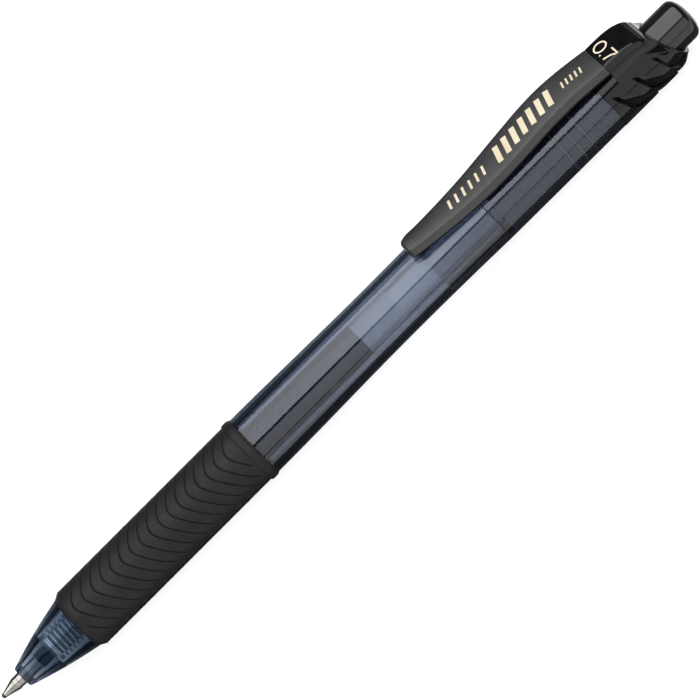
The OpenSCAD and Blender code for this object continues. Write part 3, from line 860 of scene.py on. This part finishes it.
# x and the angle from the clip's side that the hood's lower edge reaches there
HOOD_EDGE = [
    (CLIP_ROOT_X, 28), (131.2, 29), (133.2, 32.2), (135.1, 36.5), (136.6, 44), (137.8, 53.5),
    (139.3, 66), (140.6, 78.5), (141.4, 88), (142.2, 101), (143, 112),
]
CLAW_FIRST_X, CLAW_PITCH, CLAWS = 128.1, 4.2, 3
CLAW_START, CLAW_END, CLAW_BEND = 50.0, 135.0, 84.0  # angles round the cap, in degrees
CLAW_DEPTH, CLAW_WALL = 0.75, 0.16
CLAW_SLANT = 0.035  # how far back a claw's front wall runs for each degree
CAP_EDGE = 0.08  # radius of the front edge
RIM_EDGE = 0.12
CAP_BORE_R, CAP_COUNTERBORE_R, BUTTON_HOLE_R = 4.15, 4.36, BUTTON_R + 0.1

# the ridge's curve, worked out once because cap_radius asks for it many times
HUMP_CURVE_X = np.linspace(CLIP_ROOT_X, 140.5, 200)
HUMP_CURVE_Z = [spline(HUMP_TOP, x) for x in HUMP_CURVE_X]


def hump_height(x):
    """Height of the hump's ridge."""
    return np.interp(x, HUMP_CURVE_X, HUMP_CURVE_Z)


def hump_radius(x, angle):
    """Distance from the axis to the hump's faces in one direction: top, bevels and sides."""
    up, out = np.cos(angle), np.abs(np.sin(angle))
    far = 30.0
    top = hump_height(x) / np.maximum(up, 0.05)
    reach = BEVEL_DROP * HUMP_HALF + BEVEL_OUT * hump_height(x)
    bevel = reach / (BEVEL_DROP * out + BEVEL_OUT * np.maximum(up, 0))
    side = np.minimum(HUMP_SIDE / np.maximum(out, 0.05), far)
    radius = smooth_min(smooth_min(top, bevel, 0.12), side, 0.2)
    return np.where(up > 0.1, radius, 0)


def claw_front(degrees):
    """How far behind its first point a claw's front wall lies at an angle round the cap."""
    turned = np.clip(degrees, CLAW_START, CLAW_END)
    return CLAW_SLANT * (turned - CLAW_START) + 0.0013 * np.maximum(0, turned - CLAW_BEND) ** 2


def claw_cut(x, degrees):
    """Depth of the claw-shaped vents: deep at their front edge, level with the cap at the rear."""
    cut = np.zeros_like(x)
    plain_length = 0.7 + 0.055 * (degrees - 51.5)
    bend = claw_front(degrees) - CLAW_SLANT * (np.clip(degrees, CLAW_START, CLAW_END) - CLAW_START)
    length = np.where(degrees < CLAW_BEND, plain_length, smooth_max(plain_length - bend, 1.9, 0.3))
    for k in range(CLAWS):
        away = x - CLAW_FIRST_X - CLAW_PITCH * k - claw_front(degrees)
        share = np.clip(away / np.maximum(length, 0.3), 0, 1)
        wall = smooth_step(away / CLAW_WALL)
        fade = smooth_step((degrees - CLAW_START + 1) / 12)
        cut += CLAW_DEPTH * wall * fade * (1 - share) ** 1.3
    return cut


def cap_radius(x, angle):
    """Radius of the cap's outside at x in a direction round the pen, both arrays."""
    degrees = np.degrees(np.abs(angle))
    up = np.cos(angle)
    taper = 5.0  # length of the rounded shoulder before the leaning rim
    body = np.full(x.shape, CAP_R)
    for _ in range(12):
        t = np.clip((x + RIM_LEAN * body * up - RIM_X + taper) / taper, 0, 1)
        body = RIM_R + (CAP_R - RIM_R) * (1 - t**3.6) ** 1.6
    edge = np.interp(x, *zip(*HOOD_EDGE))
    ramp = smooth_step((x - CLIP_ROOT_X) / 2.0)
    hood = smooth_step((edge - degrees) / 3.5 + 0.5)
    plain = body + HOOD_RAISE * hood * ramp * smooth_step((body - RIM_R) / 0.25)
    clear_of_hood = smooth_step((degrees - edge - 1) / 5)
    plain -= claw_cut(x, degrees) * clear_of_hood * smooth_step((body - RIM_R) / 0.3)
    return np.where(x > CLIP_ROOT_X + 0.05, smooth_max(plain, hump_radius(x, angle), 0.16), plain)


def cap_end(angle):
    """Where the leaning rim ends the cap in each direction."""
    x = np.full(angle.shape, RIM_X)
    for _ in range(30):
        radius = cap_radius(x, angle)
        x = 0.5 * x + 0.5 * (RIM_X - RIM_LEAN * radius * np.cos(angle))
    return x


def cap_rows(angle, end_x):
    """Where the rows of points round the cap lie; they follow the claws' front walls."""
    spacing, slack = 0.15, 0.04
    close = [CLIP_ROOT_X + 0.045, CLIP_ROOT_X + 0.055]
    for k in range(CLAWS):
        close += list(CLAW_FIRST_X + CLAW_PITCH * k + CLAW_WALL * np.linspace(0, 1.2, 7))
    plain = np.arange(CAP_X + 0.2, close[-1] + 2 * spacing, spacing)
    even = [x for x in plain if min(abs(x - c) for c in close) > slack]
    shift = claw_front(np.degrees(np.abs(angle)))
    follow_x = CAP_X + 0.15
    limit = end_x - 0.2
    rows = []
    for x in sorted(even + close):
        moved = x + shift * smooth_step((x - follow_x) / (CLAW_FIRST_X - follow_x))
        over = np.maximum(moved - limit + 1, 0)
        rows.append(np.where(over > 0, limit - np.exp(-over), moved))
    last = rows[-1]
    to_rim = end_x - RIM_EDGE - last
    return rows + [last + to_rim * t for t in np.linspace(0, 1, 70)[1:]]


def cap_rings(angle):
    """Rings of (x, radius) for the cap's whole skin: front edge, outside, rim and inside."""
    end_x = cap_end(angle)
    rings = []
    for a in np.linspace(0, math.pi / 2, 5):
        x = CAP_X + CAP_EDGE * (1 - math.cos(a)) + 0 * angle
        rings.append((x, cap_radius(x, angle) - CAP_EDGE * (1 - math.sin(a))))
    for x in cap_rows(angle, end_x):
        rings.append((x, cap_radius(x, angle)))
    rim_r = rings[-1][1]
    for a in np.linspace(0.3, math.pi / 2, 5):
        fall = RIM_EDGE * (1 - math.cos(a))
        x = end_x - RIM_EDGE + RIM_EDGE * math.sin(a)
        rings.append((x, rim_r - fall))
    lean = -RIM_LEAN * np.cos(angle)
    hole_edge = ((BUTTON_HOLE_R + 0.1, 0), (BUTTON_HOLE_R + 0.02, 0.03), (BUTTON_HOLE_R, 0.1))
    for r, drop in hole_edge:
        rings.append((RIM_X + lean * r - drop, np.full(angle.shape, r)))
    inside = [(138.2, BUTTON_HOLE_R), (138.2, CAP_BORE_R), (129.6, CAP_BORE_R)]
    inside += [(129.6, CAP_COUNTERBORE_R), (CAP_X, CAP_COUNTERBORE_R)]
    for x, r in inside:
        rings.append((x + 0 * angle, np.full(angle.shape, r)))
    return rings


def add_cap():
    """The cap with its hump, hood, claws and leaning rim."""
    columns = 360
    angle = -np.pi + 2 * np.pi * np.arange(columns) / columns
    rings = cap_rings(angle)
    points = []
    for x, r in rings:
        points += zip(x, -r * np.sin(angle), r * np.cos(angle))
    loops = [range(i * columns, (i + 1) * columns) for i in range(len(rings))]
    faces = joined_rings(zip(loops, loops[1:] + loops[:1]))
    add_piece("cap_shell", points, faces, "tail", "cap_plastic", CAP_GLOSS, ["tail_cap"], sharp=40)


# ---- print ----

PRINT_LIFT = 0.012


def stroke(path, width, surface):
    """A flat printed stroke along a path of (x, y), lying on a surface of height surface(x, y)."""
    path = [Vector(p) for p in path]
    sections = []
    for i, here in enumerate(path):
        ahead = path[min(i + 1, len(path) - 1)] - path[max(i - 1, 0)]
        side = Vector((-ahead.y, ahead.x)).normalized() * width / 2
        left, right = here + side, here - side
        sections.append(
            [
                (left.x, left.y, surface(left.x, left.y) - PRINT_LIFT),
                (left.x, left.y, surface(left.x, left.y) + PRINT_LIFT),
                (right.x, right.y, surface(right.x, right.y) + PRINT_LIFT),
                (right.x, right.y, surface(right.x, right.y) - PRINT_LIFT),
            ]
        )
    return loft(sections)


def slanted_bars(x0, x1, count, height, width):
    """A row of slanted bars along the clip."""
    lean = 0.3 * height
    bars = []
    for i in range(count):
        x = x0 + (x1 - x0) * (i + 0.5) / count
        path = [(x + lean * (t - 0.5), height * (t - 0.5)) for t in np.linspace(0, 1, 7)]
        bars.append(stroke(path, width, clip_top))
    return bars


def hump_surface(x, _y):
    """Height of the hump's flat top, which is level across the pen."""
    return float(hump_height(x))


def add_print():
    """Plain bars on the clip, and the size of the ball on the hump: 0.7, read from the near side."""
    bars = slanted_bars(99.2, 107.8, 6, 1.7, 0.42)
    bars += slanted_bars(109.4, 122.4, 7, 3.0, 0.95)
    bars += slanted_bars(123.9, 128.3, 5, 1.2, 0.3)
    add_piece("clip_marks", *joined(*bars), "clip", "clip_plastic", PRINT)

    middle_x, middle_y, tall = 132.45, -0.38, 1.1
    line_width = 0.27
    zero_y, zero_half = 1.25, 0.82
    zero = [
        (tall * math.cos(a), zero_y + zero_half * math.sin(a)) for a in np.linspace(0, 2 * math.pi, 41)
    ]
    point = [(-tall + 0.12, 0.13), (-tall + 0.12, -0.11)]
    seven = [(tall, -0.4), (tall, -1.15), (tall, -1.98)]
    seven += [(tall - 0.35, -1.8), (0.2, -1.38), (-tall, -0.95)]
    placed = [[(middle_x + x, middle_y + y) for x, y in path] for path in (zero, point, seven)]
    digits = [stroke(path, line_width, hump_surface) for path in placed]
    add_piece("size_mark", *joined(*digits), "tail", "cap_plastic", PRINT_WARM)


# ---- pieces kept from the CAD ----


def dress_cad_nodes():
    """Materials and softened edges for the CAD nodes that show as they are."""
    kept = {
        "tip_ball": (CARBIDE, 0),
        "ball_spring": (SPRING_STEEL, 0),
        "tail_plug": (MECHANISM, 0.06),
        "cam_rotor": (ROTOR_WHITE, 0.05),
        "push_rod": (MECHANISM, 0.06),
    }
    for name, (material, edge) in kept.items():
        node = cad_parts[name]
        for place in node.material_slots:
            place.material = material
        if not node.material_slots:
            node.data.materials.append(material)
        if edge:
            bevel = node.modifiers.new("edge", "BEVEL")
            bevel.width = edge * MM
            bevel.segments = 3
            bevel.limit_method = "ANGLE"


# ---- stage ----

CAMERA_HEIGHT = math.radians(49)
FRAME_WIDTH = 105.5
LENS, SENSOR = 200, 36
TARGET_SHIFT = 1.07


def direction(angle):
    """Unit vector at an angle round the pen, from the clip's side towards the near side."""
    return Vector((0, -math.sin(math.radians(angle)), math.cos(math.radians(angle))))


def add_camera():
    """The pen runs from the lower left corner to the upper right one."""
    back = direction(90 - math.degrees(CAMERA_HEIGHT))
    across = back.cross(Vector((1, 0, 0))).normalized()
    along = Vector((1, 0, 0))
    right = (along - across).normalized()
    up = (along + across).normalized()
    target = Vector((TIP_X + (PEN_LENGTH / 2 + TARGET_SHIFT) * MM, 0, AXIS_Z))
    data = bpy.data.cameras.new("camera")
    data.lens, data.sensor_width = LENS, SENSOR
    data.clip_start = 0.01
    camera = bpy.data.objects.new("camera", data)
    turned = Matrix((right, up, back)).transposed()
    place = target + back * (FRAME_WIDTH * MM * LENS / SENSOR)
    camera.matrix_world = Matrix.Translation(place) @ turned.to_4x4()
    bpy.context.scene.collection.objects.link(camera)
    bpy.context.scene.camera = camera


def add_sheet(name, half_length, near_y, far_y, level, surface):
    """A flat sheet of the stage, level with the floor, in metres."""
    low_x, high_x = -half_length, half_length
    corners = [(low_x, near_y), (high_x, near_y), (high_x, far_y), (low_x, far_y)]
    mesh = bpy.data.meshes.new(name)
    mesh.from_pydata([(x, y, level) for x, y in corners], [], [(0, 1, 2, 3)])
    mesh.materials.append(surface.material)
    sheet = bpy.data.objects.new(name, mesh)
    bpy.context.scene.collection.objects.link(sheet)
    return sheet


def add_floor():
    """White paper that glows a little, as it does when a studio lights it from below."""
    surface = Surface("floor_paper").value(Roughness=0.9, Emission_Strength=0.86)
    surface.value(Emission_Color=(1, 1, 1, 1))
    surface.toned([0.24] * 3, [0.26] * 3, surface.noise(0.05))
    surface.bump(surface.noise(1.5), 0.01)
    half = 8.0
    add_sheet("floor", half, -half, half, 0, surface)


def add_softbox(name, angle, spread, distance, length, radiance):
    """A long soft light, parallel to the pen, that fills a spread of angles round it."""
    data = bpy.data.lights.new(name, "AREA")
    data.shape = "RECTANGLE"
    data.size = length
    data.size_y = 2 * distance * math.tan(math.radians(spread / 2))
    data.energy = radiance * math.pi * data.size * data.size_y
    light = bpy.data.objects.new(name, data)
    back = direction(angle)
    along = Vector((1, 0, 0))
    turned = Matrix((along, back.cross(along), back)).transposed()
    light.matrix_world = Matrix.Translation(Vector((0, 0, AXIS_Z)) + back * distance) @ turned.to_4x4()
    light.visible_camera = False
    bpy.context.scene.collection.objects.link(light)


def add_flag(name, near_y, far_y, grey):
    """A dark card beside the pen, just over the floor, that shows only in and through the pen."""
    surface = Surface(name).value(Roughness=1.0, Specular_IOR_Level=0.0)
    surface.toned([grey * 0.95] * 3, [grey * 1.05] * 3, surface.noise(0.05))
    card = add_sheet(name, 0.3, near_y, far_y, 0.0002, surface)
    card.visible_camera = False
    card.visible_diffuse = False
    card.visible_shadow = False


def add_lights():
    """Two softboxes, two dark cards and a dim surround."""
    add_flag("flag_near", near_y=-0.0105, far_y=-0.002, grey=0.07)
    add_flag("flag_far", near_y=0.028, far_y=0.30, grey=0.12)
    add_softbox("softbox_over", angle=-1, spread=76, distance=0.9, length=1.8, radiance=3.1)
    add_softbox("softbox_near", angle=66, spread=42, distance=0.9, length=1.8, radiance=1.45)
    world = bpy.data.worlds.new("studio")
    world.use_nodes = True
    background = world.node_tree.nodes["Background"]
    background.inputs["Color"].default_value = (0.9, 0.95, 1, 1)
    background.inputs["Strength"].default_value = 0.10
    bpy.context.scene.world = world


def set_render():
    """Plain colours, and enough bounces for light to pass through all the clear walls."""
    scene = bpy.context.scene
    scene.view_settings.view_transform = "Standard"
    scene.cycles.use_denoising = True
    scene.cycles.max_bounces = 20
    scene.cycles.transmission_bounces = 20
    scene.cycles.transparent_max_bounces = 20


add_camera()
add_front_barrel()
add_rear_barrel()
add_grip()
add_tip()
add_holder()
add_refill()
add_return_spring()
add_sleeve()
add_ring_shadows()
add_button()
add_clip()
add_cap()
add_print()
dress_cad_nodes()
add_floor()
add_lights()
set_render()
